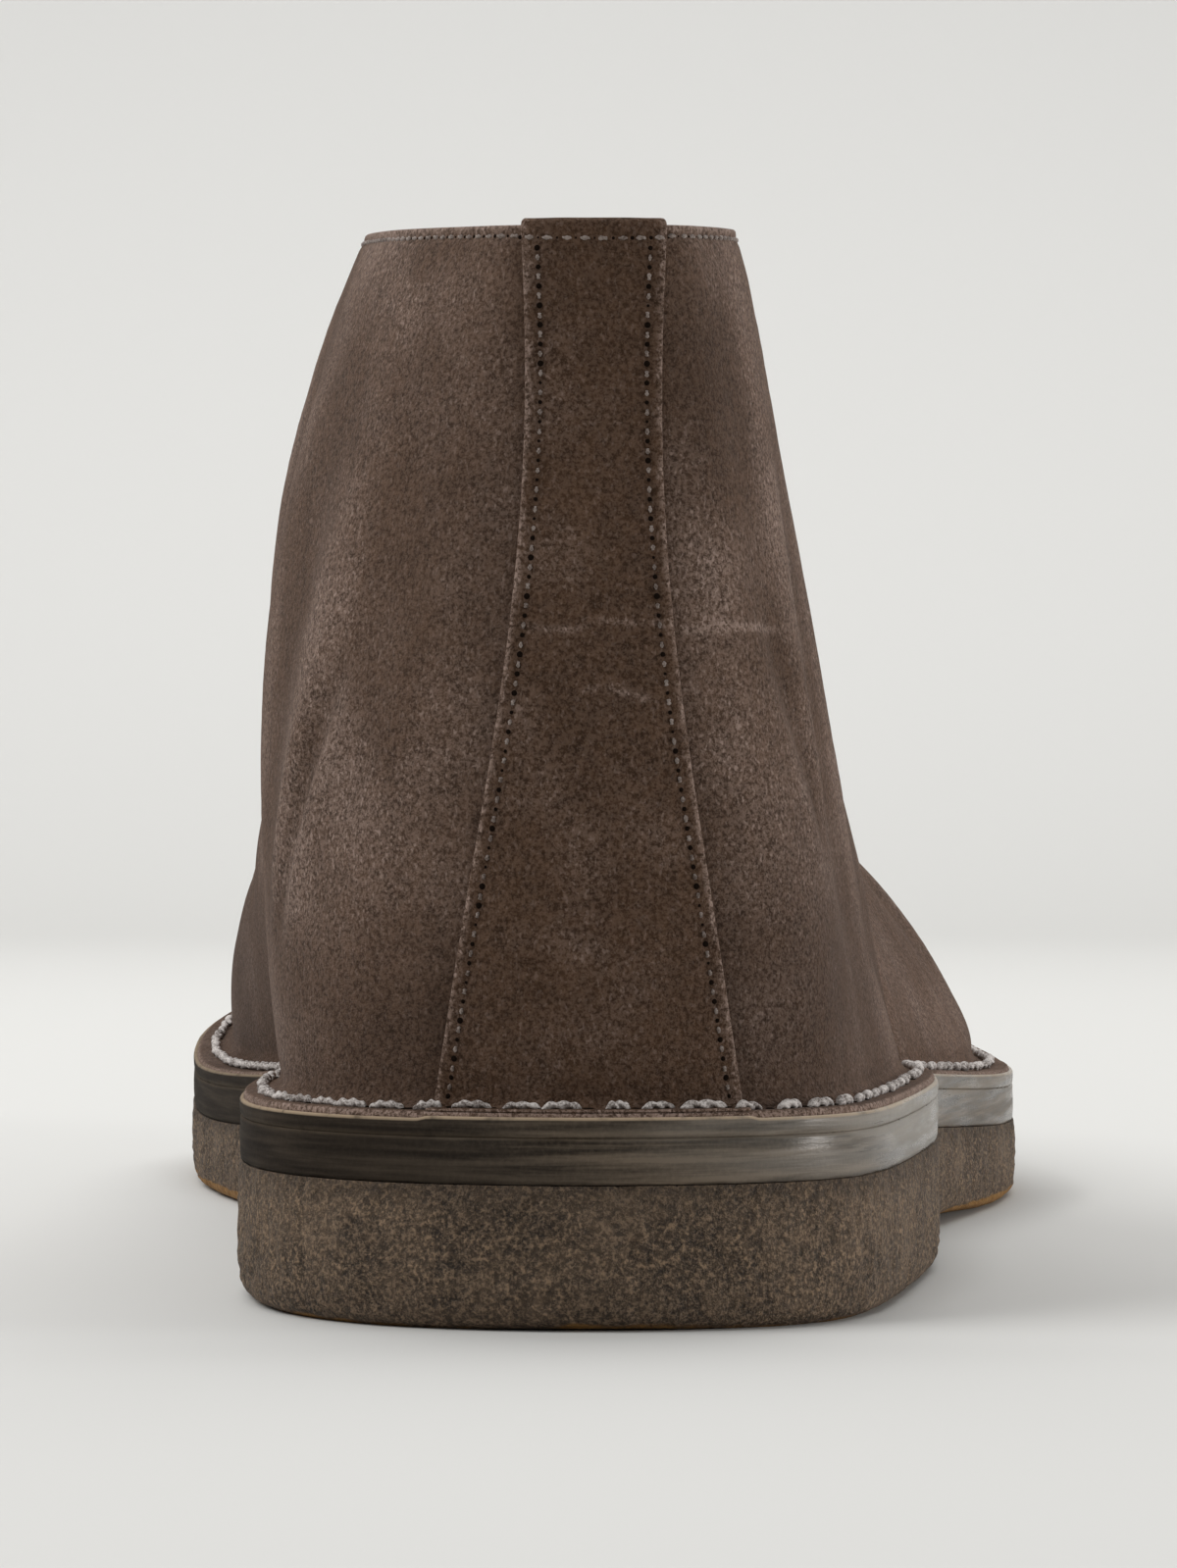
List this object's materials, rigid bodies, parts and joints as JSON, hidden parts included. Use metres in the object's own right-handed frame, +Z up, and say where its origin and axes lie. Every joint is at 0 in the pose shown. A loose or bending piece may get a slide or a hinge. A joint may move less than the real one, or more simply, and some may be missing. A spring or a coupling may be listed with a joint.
{
  "type": "desert boot",
  "caption": "Right ankle boot with an open lace-up collar, a stitch-down suede upper, a leather midsole and a wedge crepe sole.",
  "frame": {"origin": "on the ground under the middle of the boot's box", "axes": "+Y towards the toe, +X towards the outer side of this right foot, +Z up"},
  "size_m": [0.1135, 0.302, 0.12],
  "materials": {
    "suede": "dark brown napped suede",
    "crepe": "dark granular crepe rubber",
    "burnished_leather": "waxed, burnished edge",
    "tan_leather": "smooth tan lining leather",
    "dark_metal": "dark brown enamel",
    "lace_cord": "waxed round cord"
  },
  "bodies": {
    "root": {"outsole": "crepe", "midsole": "burnished_leather", "insole": "tan_leather", "upper": "suede", "back_strap": "suede", "tongue": "suede", "eyelet_upper_outer": "dark_metal", "eyelet_upper_arch": "dark_metal", "eyelet_lower_outer": "dark_metal", "eyelet_lower_arch": "dark_metal", "lace": "lace_cord"}
  },
  "joints": []
}
